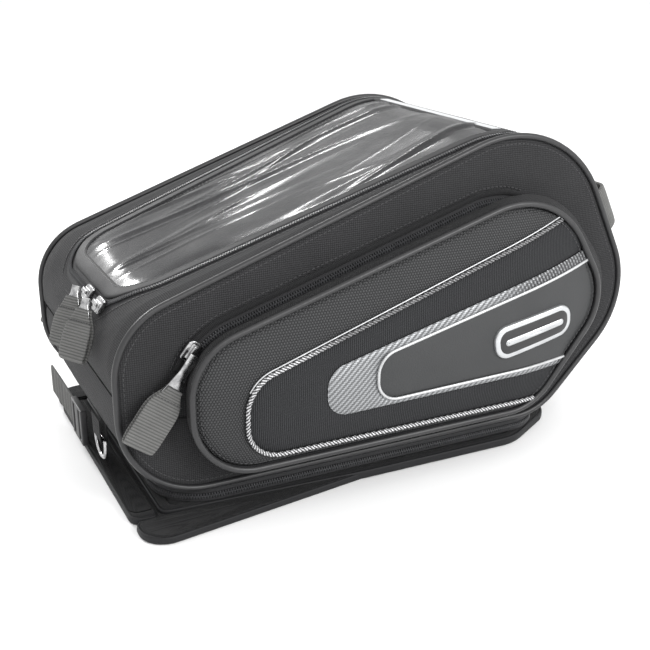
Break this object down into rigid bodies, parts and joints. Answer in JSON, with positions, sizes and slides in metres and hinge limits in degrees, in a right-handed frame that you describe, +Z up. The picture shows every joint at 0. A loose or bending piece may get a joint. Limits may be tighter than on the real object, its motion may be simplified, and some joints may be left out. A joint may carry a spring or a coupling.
{
  "type": "motorcycle tank bag",
  "caption": "Wedge-shaped motorcycle tank bag with a zipped clear-window lid, moulded side pockets and a zip-off base with magnet flaps.",
  "frame": {"origin": "middle of the base pad's underside, on the plane that rests on the tank", "axes": "+Z up, +X towards the steering head, -X towards the rider, -Y the near side pocket"},
  "size_m": [0.4457, 0.2856, 0.2512],
  "materials": {
    "black_cloth": "plain-woven polyester, matt",
    "zip_coil": "nylon coil on woven tape",
    "satin_piping": "satin vinyl piping",
    "hex_leather": "leatherette embossed with small cells",
    "smooth_leather": "smooth leatherette",
    "ribbed_mesh": "fine ribbed mesh",
    "silver_twill": "silver twill weave under film",
    "badge_silver": "satin silver moulding",
    "grey_webbing": "ribbed webbing",
    "chrome": "bright plated",
    "clear_film": "clear soft film",
    "black_plastic": "moulded, matt",
    "board_plastic": "sheet stiffener",
    "magnet": "plated magnet"
  },
  "bodies": {
    "base": {"base_pad": "black_cloth", "base_zip_lower": "zip_coil"},
    "foot_slider": {"base_zip_slider": "chrome"},
    "flap_left": {"side_flap_left": "black_cloth", "side_magnet_left": "magnet"},
    "flap_right": {"side_flap_right": "black_cloth", "side_magnet_right": "magnet"},
    "flap_rider": {"rider_flap": "black_cloth", "rider_magnet": "magnet"},
    "bag": {"base_zip_upper": "zip_coil", "foot_gusset": "black_cloth", "bottom_panel": "black_cloth", "bottom_board": "board_plastic", "rider_wall": "black_cloth", "front_wall": "black_cloth", "top_rim": "black_cloth", "side_panel_left": "black_cloth", "side_panel_right": "black_cloth", "piping_left": "satin_piping", "piping_right": "satin_piping", "lid_zip_outer": "zip_coil", "pocket_zip_left": "zip_coil", "pocket_zip_right": "zip_coil", "carry_handle": "grey_webbing", "strap_tab": "black_cloth", "ladder_buckle": "black_plastic", "rear_strap": "grey_webbing"},
    "ring": {"d_ring": "chrome"},
    "lid": {"lid_panel": "black_cloth", "lid_binding": "black_cloth", "map_window": "clear_film", "lid_zip_inner": "zip_coil"},
    "slider_1": {"lid_slider_1": "chrome"},
    "slider_2": {"lid_slider_2": "chrome"},
    "pull_1": {"lid_tab_1": "chrome", "lid_pull_1": "grey_webbing"},
    "pull_2": {"lid_tab_2": "chrome", "lid_pull_2": "grey_webbing"},
    "pocket_left": {"pocket_gusset_left": "black_cloth", "pocket_piping_left": "satin_piping", "pocket_hex_band_left": "hex_leather", "pocket_mesh_band_left": "ribbed_mesh", "pocket_silver_band_left": "silver_twill", "pocket_centre_left": "smooth_leather", "pocket_trim_cord_left": "silver_twill", "pocket_badge_left": "badge_silver"},
    "pocket_slider_body_left": {"pocket_slider_left": "chrome"},
    "pocket_pull_body_left": {"pocket_tab_left": "chrome", "pocket_pull_left": "grey_webbing"},
    "pocket_right": {"pocket_gusset_right": "black_cloth", "pocket_piping_right": "satin_piping", "pocket_hex_band_right": "hex_leather", "pocket_mesh_band_right": "ribbed_mesh", "pocket_silver_band_right": "silver_twill", "pocket_centre_right": "smooth_leather", "pocket_trim_cord_right": "silver_twill", "pocket_badge_right": "badge_silver"},
    "pocket_slider_body_right": {"pocket_slider_right": "chrome"},
    "pocket_pull_body_right": {"pocket_tab_right": "chrome", "pocket_pull_right": "grey_webbing"}
  },
  "joints": [
    {"name": "bag_lift", "type": "slide", "parent": "base", "child": "bag", "axis": [0, 0, 1], "range_m": [0, 0.08]},
    {"name": "lid_hinge", "type": "hinge", "parent": "bag", "child": "lid", "pos_m": [0.11, 0, 0.2474], "axis": [0, 1, 0], "range_deg": [0, 110]},
    {"name": "side_flap_left_fold", "type": "hinge", "parent": "base", "child": "flap_left", "pos_m": [-0.11, -0.11, 0.003], "axis": [-1, 0, 0], "range_deg": [-40, 30]},
    {"name": "side_flap_right_fold", "type": "hinge", "parent": "base", "child": "flap_right", "pos_m": [-0.11, 0.11, 0.003], "axis": [1, 0, 0], "range_deg": [-40, 30]},
    {"name": "rider_flap_fold", "type": "hinge", "parent": "base", "child": "flap_rider", "pos_m": [-0.181, 0, 0.003], "axis": [0, 1, 0], "range_deg": [-40, 40]},
    {"name": "foot_zip_slide", "type": "slide", "parent": "base", "child": "foot_slider", "axis": [0, 1, 0], "range_m": [-0.06, 0.06]},
    {"name": "d_ring_swing", "type": "hinge", "parent": "bag", "child": "ring", "pos_m": [-0.2034, -0.045, 0.044], "axis": [0, 1, 0], "range_deg": [-30, 90]},
    {"name": "lid_slider_1_run", "type": "slide", "parent": "lid", "child": "slider_1", "axis": [0, 1, 0], "range_m": [0, 0.07]},
    {"name": "lid_slider_2_run", "type": "slide", "parent": "lid", "child": "slider_2", "axis": [0, 1, 0], "range_m": [-0.008, 0]},
    {"name": "lid_pull_1_swing", "type": "hinge", "parent": "slider_1", "child": "pull_1", "pos_m": [-0.20617, -0.02, 0.15105], "axis": [-0.5, 0.866, 0], "range_deg": [0, 80]},
    {"name": "lid_pull_2_swing", "type": "hinge", "parent": "slider_2", "child": "pull_2", "pos_m": [-0.20617, -0.05, 0.15105], "axis": [-0.5, 0.866, 0], "range_deg": [0, 80]},
    {"name": "pocket_left_open", "type": "hinge", "parent": "bag", "child": "pocket_left", "pos_m": [0, -0.116, 0.0297], "axis": [1, 0, 0], "range_deg": [0, 30]},
    {"name": "pocket_slider_left_run", "type": "slide", "parent": "bag", "child": "pocket_slider_body_left", "axis": [0.6428, 0, 0.766], "range_m": [0, 0.005]},
    {"name": "pocket_pull_left_swing", "type": "hinge", "parent": "pocket_slider_body_left", "child": "pocket_pull_body_left", "pos_m": [-0.15613, -0.1277, 0.12676], "axis": [-0.5768, 0.6929, 0.4326], "range_deg": [0, 75]},
    {"name": "pocket_right_open", "type": "hinge", "parent": "bag", "child": "pocket_right", "pos_m": [0, 0.116, 0.0297], "axis": [-1, 0, 0], "range_deg": [0, 30]},
    {"name": "pocket_slider_right_run", "type": "slide", "parent": "bag", "child": "pocket_slider_body_right", "axis": [0.6428, 0, 0.766], "range_m": [0, 0.005]},
    {"name": "pocket_pull_right_swing", "type": "hinge", "parent": "pocket_slider_body_right", "child": "pocket_pull_body_right", "pos_m": [-0.15613, 0.1277, 0.12676], "axis": [0.5768, 0.6929, -0.4326], "range_deg": [0, 75]}
  ]
}
